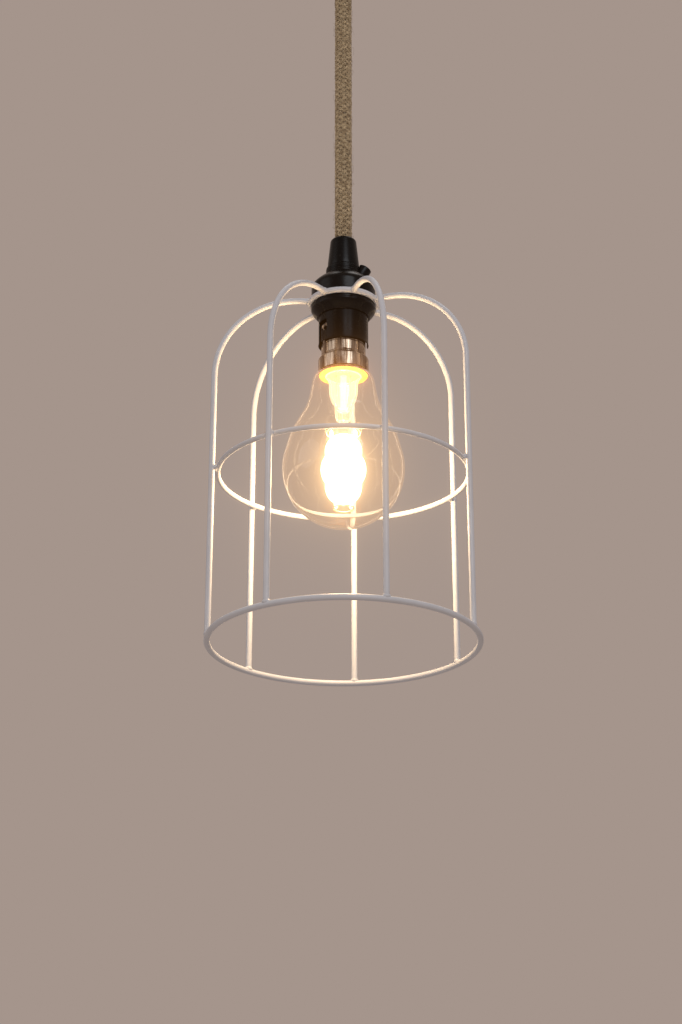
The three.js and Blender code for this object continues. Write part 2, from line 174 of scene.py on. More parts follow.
def arc(centre_r, centre_z, radius, from_degrees, to_degrees, steps):
    """Points on part of a circle in an outline's plane."""
    angles = [math.radians(from_degrees + (to_degrees - from_degrees) * i / steps) for i in range(steps + 1)]
    return [(centre_r + radius * math.cos(a), centre_z + radius * math.sin(a)) for a in angles]


def lathe(outline, segments):
    """A bmesh turned about Z from a closed outline of (radius, height) points. Points on the axis become
    poles."""
    bm = bmesh.new()
    rings = []
    turn = 2 * math.pi / segments
    for r, z in outline:
        if r < 1e-7:
            rings.append([bm.verts.new((0, 0, z))])
        else:
            rings.append([bm.verts.new((r * math.cos(turn * k), r * math.sin(turn * k), z))
                          for k in range(segments)])
    for low, high in zip(rings, [*rings[1:], rings[0]]):
        if len(low) == 1 and len(high) == 1:
            continue
        for k in range(segments):
            corners = [low[k % len(low)], low[(k + 1) % len(low)],
                       high[(k + 1) % len(high)], high[k % len(high)]]
            corners = list(dict.fromkeys(corners))
            if len(corners) > 2:
                bm.faces.new(corners)
    return bm


def spun(outline_mm, segments, height=drop):
    """A bmesh turned about Z from an outline in mm, whose heights are drops unless told otherwise."""
    return lathe([(r * MM, height(z)) for r, z in outline_mm], segments)


def closed_fillet(outline, radius):
    """Rounds an outline that goes all the way round, clear of the axis."""
    return fillet([*outline, outline[0]], radius)[:-1]


def turned(name, outline_mm, material, radius, segments=96):
    """A turned piece from an outline in mm that stays clear of the axis, its heights given as drops."""
    return piece(name, spun(closed_fillet(outline_mm, radius), segments), material)


def sweep(bm, path, radius, sides, uv=None, row=0.0):
    """A round solid along points. Its radius may be a function of how far along it is, from 0 to 1. On a UV
    layer, U is the length along it in metres, and V is the row plus how far round it is."""
    last = len(path) - 1
    tangents = [(path[min(i + 1, last)] - path[max(i - 1, 0)]).normalized() for i in range(last + 1)]
    side = tangents[0].orthogonal().normalized()
    rings = []
    for i, spot in enumerate(path):
        if i:
            side = tangents[i - 1].rotation_difference(tangents[i]) @ side
            side = (side - tangents[i] * side.dot(tangents[i])).normalized()
        across = tangents[i].cross(side)
        size = radius(i / last) if callable(radius) else radius
        ring = []
        for k in range(sides):
            a = 2 * math.pi * k / sides
            ring.append(bm.verts.new(spot + (side * math.cos(a) + across * math.sin(a)) * size))
        rings.append(ring)
    length = 0.0
    for i, (low, high) in enumerate(zip(rings, rings[1:])):
        step = (path[i + 1] - path[i]).length
        for k in range(sides):
            nxt = (k + 1) % sides
            face = bm.faces.new((low[k], low[nxt], high[nxt], high[k]))
            if uv is not None:
                spots = ((length, k), (length, k + 1), (length + step, k + 1), (length + step, k))
                for loop, (along, round_) in zip(face.loops, spots):
                    loop[uv].uv = (along, row + round_ / sides)
        length += step
    bm.faces.new(list(reversed(rings[0])))
    bm.faces.new(rings[-1])


def curve_through(points, per_span=8):
    """A smooth line through points."""
    spots = [Vector(p) for p in points]
    padded = [spots[0] * 2 - spots[1], *spots, spots[-1] * 2 - spots[-2]]
    out = []
    for i in range(1, len(padded) - 2):
        a, b, c, d = padded[i - 1:i + 3]
        for k in range(per_span):
            t = k / per_span
            out.append(0.5 * (2 * b + (c - a) * t + (2 * a - 5 * b + 4 * c - d) * t * t
                              + (3 * b - a - 3 * c + d) * t ** 3))
    out.append(spots[-1])
    return out


def bearing(radius, degrees, z):
    """A place at a distance from the axis, its bearing turning from +Y towards +X."""
    a = math.radians(degrees)
    return Vector((radius * math.sin(a), radius * math.cos(a), z))


def bearing_of(node):
    """The bearing of a node's middle, in degrees."""
    spot = middle(node)
    return math.degrees(math.atan2(spot.x, spot.y))


def cut(obj, cutter):
    """Cuts one object out of another for good, and takes the cutter away."""
    modifier = obj.modifiers.new("cut", "BOOLEAN")
    modifier.operation = "DIFFERENCE"
    modifier.solver = "EXACT"
    modifier.object = cutter
    bake(obj)
    bpy.data.objects.remove(cutter)
    return obj


def bake(obj):
    """Turns the modified object into a plain mesh."""
    graph = bpy.context.evaluated_depsgraph_get()
    mesh = bpy.data.meshes.new_from_object(obj.evaluated_get(graph))
    obj.modifiers.clear()
    obj.data = mesh
    smooth(mesh, CREASE)


def soften(obj, width, segments=2, angle=35):
    """Rounds an object's hard edges for good."""
    modifier = obj.modifiers.new("soften", "BEVEL")
    modifier.width = width
    modifier.segments = segments
    modifier.limit_method = "ANGLE"
    modifier.angle_limit = math.radians(angle)
    bake(obj)
    return obj


def rod(from_point, to_point, radius, segments=32):
    """A plain closed rod between two points, as a bmesh."""
    bm = bmesh.new()
    sweep(bm, [Vector(from_point), Vector(to_point)], radius, segments)
    return bm


def slab(name, size, placed, material):
    """A box of a size, placed by a matrix."""
    bm = bmesh.new()
    bmesh.ops.create_cube(bm, size=1, matrix=placed @ Matrix.Diagonal((*size, 1)))
    return piece(name, bm, material)


# ------------------------------------------------------------------ node helpers
def sockets(group, inputs, outputs):
    """Gives a node group its named inputs, with their values, and its named outputs."""
    for name, kind, value in inputs:
        socket = group.interface.new_socket(name, in_out="INPUT", socket_type=kind)
        if value is not None:
            socket.default_value = value
    for name, kind in outputs:
        group.interface.new_socket(name, in_out="OUTPUT", socket_type=kind)


class Wiring:
    """Places nodes in a tree and joins them, so that each effect reads from top to bottom."""

    def __init__(self, tree):
        self.tree = tree

    def node(self, kind, inputs=None, **settings):
        made = self.tree.nodes.new(kind)
        for key, value in settings.items():
            setattr(made, key, value)
        for key, value in (inputs or {}).items():
            self.feed(made.inputs[key], value)
        return made

    def feed(self, socket, value):
        if isinstance(value, bpy.types.NodeSocket):
            self.tree.links.new(value, socket)
        else:
            socket.default_value = value

    def maths(self, operation, a, b):
        return self.node("ShaderNodeMath", {0: a, 1: b}, operation=operation).outputs[0]

    def blend(self, factor, a, b):
        mix = self.node("ShaderNodeMix", {0: factor, 6: a, 7: b}, data_type="RGBA")
        return mix.outputs[2]

    def ramp(self, value, low, high, to_low=0.0, to_high=1.0):
        inputs = {"Value": value, "From Min": low, "From Max": high, "To Min": to_low, "To Max": to_high}
        return self.node("ShaderNodeMapRange", inputs).outputs["Result"]


def shader_group(name, inputs, outputs):
    """An empty shader node group: its tree, its wiring, what it is given and what it puts out."""
    tree = bpy.data.node_groups.new(name, "ShaderNodeTree")
    sockets(tree, inputs, outputs)
    w = Wiring(tree)
    return tree, w, w.node("NodeGroupInput").outputs, w.node("NodeGroupOutput").inputs


FLOAT = "NodeSocketFloat"
GEOMETRY = "NodeSocketGeometry"


def make_handling_marks():
    """Smudges, fine specks and dust that any smooth surface picks up, by position."""
    inputs = [("Size", FLOAT, 60.0), ("Speck Size", FLOAT, 900.0)]
    tree, w, given, out = shader_group("handling_marks", inputs, [("Smudge", FLOAT), ("Speck", FLOAT)])
    place = w.node("ShaderNodeTexCoord").outputs["Object"]
    smudge = w.node("ShaderNodeTexNoise", {"Vector": place, "Scale": given["Size"], "Detail": 4.0,
                                           "Roughness": 0.6})
    speck = w.node("ShaderNodeTexNoise", {"Vector": place, "Scale": given["Speck Size"], "Detail": 2.0})
    w.feed(out["Smudge"], w.ramp(smudge.outputs[0], 0.35, 0.68))
    w.feed(out["Speck"], w.ramp(speck.outputs[0], 0.62, 0.75))
    return tree


def make_paint_skin():
    """The faint orange peel of a sprayed or powder coat."""
    inputs = [("Peel Size", FLOAT, 1400.0), ("Ripple Size", FLOAT, 260.0)]
    tree, w, given, out = shader_group("paint_skin", inputs, [("Height", FLOAT)])
    place = w.node("ShaderNodeTexCoord").outputs["Object"]
    fine = w.node("ShaderNodeTexNoise", {"Vector": place, "Scale": given["Peel Size"], "Detail": 1.0})
    broad = w.node("ShaderNodeTexNoise", {"Vector": place, "Scale": given["Ripple Size"], "Detail": 2.0})
    w.feed(out["Height"], w.maths("ADD", fine.outputs[0], w.maths("MULTIPLY", broad.outputs[0], 1.5)))
    return tree


def make_turning_marks():
    """Fine rings left by turning, round the Z axis."""
    inputs = [("Rings", FLOAT, 1800.0)]
    tree, w, given, out = shader_group("turning_marks", inputs, [("Height", FLOAT), ("Streak", FLOAT)])
    place = w.node("ShaderNodeTexCoord").outputs["Object"]
    stretch = w.node("ShaderNodeMapping", {"Vector": place, "Scale": (30.0, 30.0, 1.0)})
    scaled = w.node("ShaderNodeVectorMath", {0: place}, operation="MULTIPLY")
    scaled.inputs[1].default_value = (0.02, 0.02, 1.0)
    rings = w.node("ShaderNodeTexNoise", {"Vector": scaled.outputs[0], "Scale": given["Rings"], "Detail": 2.0})
    streak = w.node("ShaderNodeTexNoise", {"Vector": stretch.outputs[0], "Scale": 3.0, "Detail": 3.0})
    w.feed(out["Height"], rings.outputs[0])
    w.feed(out["Streak"], w.ramp(streak.outputs[0], 0.35, 0.7))
    return tree


def make_wire_tree():
    """Geometry nodes: round wire along every line of a curve object."""
    tree = bpy.data.node_groups.new("round_wire", "GeometryNodeTree")
    inputs = [("Lines", GEOMETRY, None), ("Wire Radius", FLOAT, 0.001), ("Sides", "NodeSocketInt", 20),
              ("Coat", "NodeSocketMaterial", None)]
    sockets(tree, inputs, [("Wires", GEOMETRY)])
    w = Wiring(tree)
    given = w.node("NodeGroupInput").outputs
    profile = w.node("GeometryNodeCurvePrimitiveCircle", {"Resolution": given["Sides"],
                                                          "Radius": given["Wire Radius"]})
    wire = w.node("GeometryNodeCurveToMesh", {"Curve": given["Lines"], "Profile Curve": profile.outputs[0],
                                              "Fill Caps": True})
    real = w.node("GeometryNodeRealizeInstances", {"Geometry": wire.outputs[0]})
    coated = w.node("GeometryNodeSetMaterial", {"Geometry": real.outputs[0], "Material": given["Coat"]})
    w.feed(w.node("NodeGroupOutput").inputs["Wires"], coated.outputs[0])
    return tree


ROUND_WIRE = make_wire_tree()


def grown(name, base, tree, **values):
    """A plain mesh from a geometry nodes tree on a base object."""
    modifier = base.modifiers.new(name, "NODES")
    modifier.node_group = tree
    named = {item.name: item.identifier for item in tree.interface.items_tree if item.in_out == "INPUT"}
    for key, value in values.items():
        modifier[named[key.replace("_", " ")]] = value
    graph = bpy.context.evaluated_depsgraph_get()
    mesh = bpy.data.meshes.new_from_object(base.evaluated_get(graph))
    obj = bpy.data.objects.new(name, mesh)
    bpy.context.scene.collection.objects.link(obj)
    bpy.data.objects.remove(base)
    smooth(mesh, WIRE_CREASE)
    return obj


def wires(name, lines, radius, coat, sides=36, closed=False):
    """Round wires along lists of points, as one mesh."""
    curve = bpy.data.curves.new(name + "_lines", "CURVE")
    curve.dimensions = "3D"
    for points in lines:
        spline = curve.splines.new("POLY")
        spline.points.add(len(points) - 1)
        spline.use_cyclic_u = closed
        for spot, place in zip(spline.points, points):
            spot.co = (*place, 1)
    base = bpy.data.objects.new(name + "_lines", curve)
    bpy.context.scene.collection.objects.link(base)
    return grown(name, base, ROUND_WIRE, Wire_Radius=radius, Sides=sides, Coat=coat)


def circle_points(radius, z, count):
    """Points all the way round a level circle."""
    return [bearing(radius, 360 * k / count, z) for k in range(count)]


HANDLING = make_handling_marks()
PAINT_SKIN = make_paint_skin()
TURNING = make_turning_marks()


def material(name, **values):
    """A material whose main shader takes plain values by socket name."""
    made = bpy.data.materials.new(name)
    made.use_nodes = True
    w = Wiring(made.node_tree)
    shader = made.node_tree.nodes["Principled BSDF"]
    for key, value in values.items():
        shader.inputs[key.replace("_", " ")].default_value = value
    return made, w, shader.inputs


def placed_group(w, tree, **values):
    """A node group placed in a material with its own values: what it puts out."""
    node = w.node("ShaderNodeGroup")
    node.node_tree = tree
    for key, value in values.items():
        w.feed(node.inputs[key.replace("_", " ")], value)
    return node.outputs


def bump(w, inputs, height, strength, distance):
    """Feeds a height to the main shader's normal."""
    normal = w.node("ShaderNodeBump", {"Height": height, "Strength": strength, "Distance": distance})
    w.feed(inputs["Normal"], normal.outputs[0])


def painted(name, colour, worn, roughness, peel, shine):
    """A painted metal surface: colour that varies a little, smudged gloss and orange peel."""
    made, w, inputs = material(name, Specular_IOR_Level=shine)
    marks = placed_group(w, HANDLING)
    shade = w.blend(w.maths("MULTIPLY", marks["Smudge"], 0.55), (*colour, 1), (*worn, 1))
    dusty = w.blend(w.maths("MULTIPLY", marks["Speck"], 0.03), shade, (0.42, 0.38, 0.33, 1))
    w.feed(inputs["Base Color"], dusty)
    w.feed(inputs["Roughness"], w.ramp(marks["Smudge"], 0.0, 1.0, roughness, roughness + 0.14))
    bump(w, inputs, placed_group(w, PAINT_SKIN)["Height"], peel, 0.0001)
    return made


def bare_metal(name, colour, dull, roughness):
    """Turned or plated metal with fine rings and dull patches."""
    made, w, inputs = material(name, Metallic=1.0)
    marks = placed_group(w, HANDLING, Size=90.0)
    turning = placed_group(w, TURNING)
    w.feed(inputs["Base Color"], w.blend(w.maths("MULTIPLY", marks["Smudge"], 0.6), (*colour, 1), (*dull, 1)))
    rough = w.maths("ADD", w.ramp(marks["Smudge"], 0.0, 1.0, roughness, roughness + 0.12),
                    w.maths("MULTIPLY", turning["Streak"], 0.05))
    w.feed(inputs["Roughness"], rough)
    bump(w, inputs, turning["Height"], 0.08, 0.0001)
    return made


def plated_metal(name, bright, reflection_band_colour, roughness):
    """Thin plating on a drawn cap: bright and dark brown bands painted down its length as reflections of its
    surroundings, and dull smudges.
    """
    made, w, inputs = material(name, Metallic=1.0)
    place = w.node("ShaderNodeTexCoord").outputs["Object"]
    split = w.node("ShaderNodeSeparateXYZ", {0: place}).outputs
    turn = w.maths("ARCTAN2", split["Y"], split["X"])
    around = w.node("ShaderNodeCombineXYZ", {"X": w.maths("MULTIPLY", turn, 2.6),
                                             "Y": w.maths("MULTIPLY", split["Z"], 12.0)}).outputs[0]
    streak = w.node("ShaderNodeTexNoise", {"Vector": around, "Scale": 2.2, "Detail": 4.0, "Roughness": 0.7})
    marks = placed_group(w, HANDLING, Size=90.0)
    # Painted reflections: dark brown bands by bearing round the cap.
    reflection_bands = w.blend(w.ramp(streak.outputs[0], 0.38, 0.60), (*bright, 1), (*reflection_band_colour, 1))
    w.feed(inputs["Base Color"], reflection_bands)
    w.feed(inputs["Roughness"], w.ramp(marks["Smudge"], 0.0, 1.0, roughness, roughness + 0.12))
    bump(w, inputs, placed_group(w, TURNING)["Height"], 0.08, 0.0001)
    return made


def moulded(name, colour, shade, roughness):
    """Moulded plastic or ceramic: a soft grain and a little colour drift."""
    made, w, inputs = material(name, IOR=1.5)
    marks = placed_group(w, HANDLING, Size=120.0)
    w.feed(inputs["Base Color"], w.blend(marks["Smudge"], (*colour, 1), (*shade, 1)))
    w.feed(inputs["Roughness"], w.ramp(marks["Speck"], 0.0, 1.0, roughness, roughness + 0.15))
    bump(w, inputs, placed_group(w, PAINT_SKIN, Peel_Size=2400.0)["Height"], 0.1, 0.0001)
    return made


def jute_material():
    """Coarse jute yarn: twisted fibres, straw and brown patches, and painted shade in the gaps, darker the
    nearer to the cord's axis.
    """
    made, w, inputs = material("jute_braid", Sheen_Weight=0.25, Sheen_Roughness=0.5)
    uv = w.node("ShaderNodeUVMap", uv_map="yarn").outputs[0]
    place = w.node("ShaderNodeTexCoord").outputs["Object"]
    split = w.node("ShaderNodeSeparateXYZ", {0: uv}).outputs
    lay = w.maths("ADD", w.maths("MULTIPLY", split["X"], 420.0), split["Y"])
    twisted = w.node("ShaderNodeCombineXYZ", {"X": w.maths("MULTIPLY", split["X"], 60.0),
                                              "Y": w.maths("MULTIPLY", lay, 7.0)}).outputs[0]
    fibre = w.node("ShaderNodeTexNoise", {"Vector": twisted, "Scale": 1.0, "Detail": 3.0, "Roughness": 0.65})
    patch = w.node("ShaderNodeTexNoise", {"Vector": place, "Scale": 520.0, "Detail": 3.0})
    ply = w.node("ShaderNodeMath", {0: w.maths("MULTIPLY", lay, math.pi * 2)}, operation="SINE").outputs[0]
    straw = w.blend(w.ramp(patch.outputs[0], 0.35, 0.65), (0.32, 0.23, 0.125, 1), (0.78, 0.62, 0.385, 1))
    dark = w.blend(w.ramp(fibre.outputs[0], 0.30, 0.58), (0.20, 0.13, 0.065, 1), straw)
    # Painted shade: near black where a yarn dips in towards the axis, and on the core, standing in for the shade
    # between the yarns.
    flat = w.node("ShaderNodeVectorMath", {0: place, 1: (1, 1, 0)}, operation="MULTIPLY").outputs[0]
    out = w.node("ShaderNodeVectorMath", {0: flat}, operation="LENGTH").outputs["Value"]
    w.feed(inputs["Base Color"], w.blend(w.ramp(out, 0.0037, 0.0041), (0.035, 0.022, 0.012, 1), dark))
    w.feed(inputs["Roughness"], w.ramp(fibre.outputs[0], 0.3, 0.7, 0.98, 0.8))
    height = w.maths("ADD", fibre.outputs[0], w.maths("MULTIPLY", ply, 0.35))
    bump(w, inputs, height, 0.7, 0.00035)
    return made


def glass_material(name, tint, painted_glow_strength, painted_glow_colour):
    """Thin clear glass that glows faintly with painted light, warm and brightest at its rims, standing in for
    the sticks' light reflected and scattered in it. Its piece casts no shadow, so that the lamp inside lights
    the cage."""
    made, w, inputs = material(name, Transmission_Weight=1.0, IOR=1.46, Base_Color=(*tint, 1),
                               Emission_Strength=painted_glow_strength)
    made.cycles.emission_sampling = "NONE"
    # Painted glow: the glass emits light, brighter and warmer where it is seen edge-on.
    edge = w.node("ShaderNodeLayerWeight", {"Blend": 0.5}).outputs["Facing"]
    w.feed(inputs["Emission Color"], w.blend(w.ramp(edge, 0.70, 0.93), (*painted_glow_colour, 1), (7.0, 4.3, 2.2, 1)))
    marks = placed_group(w, HANDLING, Size=45.0, Speck_Size=700.0)
    w.feed(inputs["Roughness"], w.maths("MULTIPLY", marks["Speck"], 0.03))
    ripple = w.node("ShaderNodeTexNoise", {"Vector": w.node("ShaderNodeTexCoord").outputs["Object"],
                                           "Scale": 55.0, "Detail": 1.0})
    bump(w, inputs, ripple.outputs[0], 0.05, 0.0006)
    return made


def glow_material(name, colour, strength, dim):
    """Phosphor over a row of light-emitting chips, brightest over each chip."""
    made, w, inputs = material(name, Base_Color=(1.0, 0.72, 0.3, 1), Roughness=0.55, Emission_Strength=strength)
    place = w.node("ShaderNodeTexCoord").outputs["Object"]
    height = w.node("ShaderNodeSeparateXYZ", {0: place}).outputs["Z"]
    wave = w.node("ShaderNodeMath", {0: w.maths("MULTIPLY", height, 2 * math.pi / 0.0013)}, operation="SINE")
    w.feed(inputs["Emission Color"], w.blend(w.ramp(wave.outputs[0], -1.0, 1.0, dim, 1.0), (0.9, 0.38, 0.08, 1),
                                             (*colour, 1)))
    made.cycles.emission_sampling = "NONE"      # the lamp's own light does the lighting
    return made


BLACK = (0.0012, 0.0011, 0.0011)
WORN_BLACK = (0.003, 0.0024, 0.002)
BLACK_PAINT = painted("black_holder_paint", BLACK, WORN_BLACK, 0.2, 0.05, 0.17)
BARREL_PAINT = painted("black_barrel_paint", BLACK, WORN_BLACK, 0.2, 0.05, 0.09)
WHITE_COAT = painted("white_powder_coat", (0.62, 0.64, 0.69), (0.55, 0.565, 0.605), 0.36, 0.06, 0.5)
# The cap's second colour is its painted dark reflection band.
NICKEL = plated_metal("plated_lamp_cap", (0.62, 0.51, 0.395), (0.085, 0.05, 0.028), 0.18)
STEEL = bare_metal("zinc_steel", (0.62, 0.62, 0.63), (0.48, 0.47, 0.46), 0.32)
BRASS = bare_metal("turned_brass", (0.78, 0.57, 0.25), (0.60, 0.42, 0.18), 0.25)
LEAD_WIRE = bare_metal("lead_wire", (0.72, 0.66, 0.58), (0.55, 0.47, 0.38), 0.3)
WHITE_MOULDING = moulded("white_insulation", (0.74, 0.71, 0.66), (0.66, 0.62, 0.56), 0.45)
BLACK_VITREOUS = moulded("black_cap_glass", (0.010, 0.010, 0.012), (0.02, 0.02, 0.022), 0.12)
CEMENT = moulded("capping_cement", (0.80, 0.40, 0.075), (0.72, 0.32, 0.05), 0.7)
BOARD = moulded("driver_board_green", (0.03, 0.16, 0.05), (0.02, 0.10, 0.04), 0.4)
BROWN_CORE = moulded("brown_core", (0.17, 0.06, 0.02), (0.12, 0.04, 0.015), 0.45)
BLUE_CORE = moulded("blue_core", (0.03, 0.12, 0.42), (0.02, 0.09, 0.33), 0.45)
GREEN_CORE = moulded("green_core", (0.16, 0.36, 0.06), (0.45, 0.48, 0.05), 0.45)
JUTE = jute_material()
# Both glasses glow with painted light; the stem's strong glow stands in for the sticks' light running up its
# glass.
CLEAR_GLASS = glass_material("clear_lamp_glass", (1.0, 0.985, 0.955), 0.026, (1.0, 0.48, 0.14))
STEM_GLASS = glass_material("lit_stem_glass", (1.0, 0.975, 0.93), 0.25, (1.0, 0.78, 0.46))
GLOW = glow_material("phosphor_glow", (1.0, 0.74, 0.36), 80.0, 0.72)


# ------------------------------------------------------------------ cord
CORD_RADIUS = 4.25 * MM
CORD_ROUTE = [(0, 0, PIVOT_Z + (CORD_END_Z - PIVOT_Z) * k / 17) for k in range(18)]
CARRIERS = 12               # strands of the braid that run each way round
BRAID_PITCH = 30 * MM
YARN_RADIUS = 0.5 * MM
BRAID_STEP = 0.6 * MM       # between the points of a yarn
BRAID_DEPTH = 0.4 * MM      # how far a yarn rises over a crossing, or dips under it
YARN_SPREAD = 0.125         # radians from the middle of a strand to each of its two yarns
YARN_WAVER = 0.06 * MM
PINCHED = 3 * MM            # at each end the braid narrows over this length
CORE_RADIUS = 2.7 * MM
LOOSE_FIBRES = 240


def make_cord():
    """A braid of yarn pairs that pass over and under each other round a core."""
    bm = bmesh.new()
    uv = bm.loops.layers.uv.new("yarn")
    top, bottom = CORD_ROUTE[0][2], CORD_ROUTE[-1][2]
    steps = int((top - bottom) / BRAID_STEP)
    mean = CORD_RADIUS - YARN_RADIUS - 0.22 * MM
    crossings = CARRIERS / BRAID_PITCH
    chance = random.Random(7)
    row = 0
    for way in (1, -1):
        for carrier in range(CARRIERS):
            for ply in (-1, 1):
                row += 1
                thick = chance.uniform(0.92, 1.08)
                waver = chance.uniform(0, 6.28)
                path = []
                for k in range(steps + 1):
                    fallen = (top - bottom) * k / steps
                    count = 2 * crossings * fallen
                    over = math.sin(math.pi / 2 * (2 * carrier + way * count + 0.5)) * way
                    radius = mean + BRAID_DEPTH * max(-1, min(1, 1.5 * over))
                    radius += YARN_WAVER * math.sin(fallen * 900 + waver)
                    radius *= min(1.0, 0.55 + 0.45 * min(fallen, top - bottom - fallen) / PINCHED)
                    turn = 2 * math.pi * (carrier / CARRIERS + way * fallen / BRAID_PITCH)
                    turn += ply * YARN_SPREAD + 0.015 * math.sin(fallen * 700 + waver)
                    path.append(Vector((radius * math.cos(turn), radius * math.sin(turn), top - fallen)))
                sweep(bm, path, YARN_RADIUS * thick, 5, uv=uv, row=row * 3.7)
    sweep(bm, [Vector(p) for p in CORD_ROUTE], CORE_RADIUS, 16, uv=uv)
    add_fibres(bm, uv, top, bottom, chance)
    mesh = bpy.data.meshes.new("jute_cord")
    bm.to_mesh(mesh)
    bm.free()
    mesh.materials.append(JUTE)
    mesh.shade_smooth()
    cord = bpy.data.objects.new("jute_cord", mesh)
    bpy.context.scene.collection.objects.link(cord)
    return cord


def add_fibres(bm, uv, top, bottom, chance):
    """Loose jute fibres that stand off the braid."""
    for k in range(LOOSE_FIBRES):
        z = chance.uniform(bottom + 24 * MM, top - 5 * MM)
        turn = chance.uniform(0, 360)
        out = CORD_RADIUS + chance.uniform(0.3, 1.1) * MM
        start = bearing(CORD_RADIUS - 0.5 * MM, turn, z)
        bulge = bearing(out, turn + chance.uniform(-9, 9), z + chance.uniform(-1.2, 1.2) * MM)
        end = bearing(out + chance.uniform(-0.3, 0.5) * MM, turn + chance.uniform(-22, 22),
                      z + chance.uniform(-3.2, 3.2) * MM)
        sweep(bm, curve_through([start, bulge, end], 3), 0.045 * MM, 3, uv=uv, row=k * 1.3)


cord = make_cord()
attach(cord, "pendant")
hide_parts("cord_drop", "cord_bend")


# ------------------------------------------------------------------ lampholder
def finished(obj, body, slot, *nodes):
    """Ties a piece to its body, and hides the nodes that it replaces. Its slot is not used."""
    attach(obj, body)
    if nodes:
        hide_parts(*nodes)
    return obj


def make_grip_sleeve():
    """The tapered sleeve that screws down on the cap's neck."""
    outline = [(4.6, -13.4), (5.6, -13.4), (5.6, -19.4), (7.95, -19.4, 0.4), (7.85, -21.5, 1), (6.5, -34.4, 1.6),
               (5.4, -35.4, 0.6), (4.6, -35.4)]
    sleeve = turned("grip_sleeve", outline, BLACK_PAINT, 0.2)
    return finished(sleeve, "pendant", "black_metal", "cord_grip_sleeve")


THREAD_PITCH = 0.9 * MM
THREAD_CREST = 0.3 * MM


def make_neck_thread():
    """The crest of the neck's thread, as a smooth coil whose ends run out into the surface."""
    radius, low, high = 8.45 * MM, drop(-15.6), drop(-18.8)
    turns = (high - low) / THREAD_PITCH
    steps = int(turns * 48)
    path = []
    for k in range(steps + 1):
        a = 2 * math.pi * turns * k / steps
        sink = 0.5 * THREAD_CREST * (1 - min(1, 10 * k / steps, 10 * (steps - k) / steps))
        path.append(Vector(((radius - sink) * math.cos(a), (radius - sink) * math.sin(a),
                            low + (high - low) * k / steps)))
    bm = bmesh.new()
    sweep(bm, path, THREAD_CREST, 8)
    finished(piece("neck_thread", bm, BLACK_PAINT), "pendant", "black_metal")


BOSS_LEAN = math.radians(31)
BOSS_TOP = Vector((11.1 * MM, 0, drop(-19.5)))
BOSS_AXIS = Vector((math.sin(BOSS_LEAN), 0, math.cos(BOSS_LEAN)))


def make_holder_cap():
    """The domed cap with its neck, and the screw boss on its side."""
    outline = [(12.25, -1.8), (16, -1.8, 0.5), (16, -8.1, 1.2), (15.4, -9.7, 1.2), (13.1, -12.1, 1.4),
               (9.3, -14.7, 0.6), (8.6, -15.2, 0.3), (8.6, -19.1, 0.3), (6, -19.1), (6, -13.6), (8.4, -13.1),
               (12, -10.5), (14, -8), (14, -5.8), (12.25, -5.2)]
    cap = turned("holder_cap_shell", outline, BLACK_PAINT, 0.25)
    bm = rod(BOSS_TOP - BOSS_AXIS * 6.4 * MM, BOSS_TOP, 3.4 * MM, 48)
    boss = soften(piece("screw_boss", bm, BLACK_PAINT), 0.45 * MM, 3)
    boss = cut(boss, piece("boss_room", rod((0, 0, drop(-18.9)), (0, 0, drop(-24)), 8.3 * MM, 96), BLACK_PAINT))
    boss = cut(boss, piece("neck_room", rod((0, 0, drop(-9)), (0, 0, drop(-24)), 7.6 * MM, 96), BLACK_PAINT))
    inner = spun([(0, -5), (14.2, -5.5), (14.2, -8.2), (12.1, -11), (7, -14), (0, -14)], 96)
    boss = cut(boss, piece("cap_room", inner, BLACK_PAINT))
    hole = rod(BOSS_TOP - BOSS_AXIS * 5 * MM, BOSS_TOP + BOSS_AXIS * MM, 1.85 * MM)
    boss = cut(boss, piece("boss_hole", hole, BLACK_PAINT))
    finished(boss, "pendant", "black_metal")
    return finished(cap, "pendant", "black_metal", "holder_cap")


def make_lock_screw():
    """A grub screw with a screwdriver slot, in the boss."""
    bm = rod(BOSS_TOP - BOSS_AXIS * 4.8 * MM, BOSS_TOP - BOSS_AXIS * 0.5 * MM, 1.65 * MM, 32)
    screw = soften(piece("lock_screw", bm, STEEL), 0.2 * MM)
    turn = BOSS_AXIS.to_track_quat("Z", "Y").to_matrix().to_4x4()
    slot_place = Matrix.Translation(BOSS_TOP - BOSS_AXIS * 0.6 * MM) @ turn
    screw = cut(screw, slab("slot", (0.6 * MM, 5 * MM, 1.6 * MM), slot_place, STEEL))
    return finished(screw, "pendant", "steel", "cap_lock_screw")


BARREL_RADIUS = 11.85 * MM
BARREL_WALL = 0.5 * MM
BARREL_ROWS = [23.5, 23.0, 22.4, 20.5, 19.0, 17.9, 16.2, 14.4, 12.2, 11.0, 9.6, 8.2, 6.0, 3.0, 0.0, -2.4, -4.8]
FACET = 3.75                # degrees of the barrel's turn to a face
SLOT_TURN = 20.0            # degrees from where a lamp goes in to where it rests
SLOT_HALF = 6.9             # degrees from a slot's middle line to its side
SLOT_TOP, SLOT_LEVEL, SLOT_SEAT = 12.2, 16.2, 17.9      # drops of a slot's roof, level floor and seat


PINS = ("bayonet_pin_left", "bayonet_pin_right")


def pin_bearings():
    """Where the pins rest, in degrees that turn from +X towards +Y."""
    pins = (middle(name) for name in PINS)
    return [math.degrees(math.atan2(pin.y, pin.x)) for pin in pins]


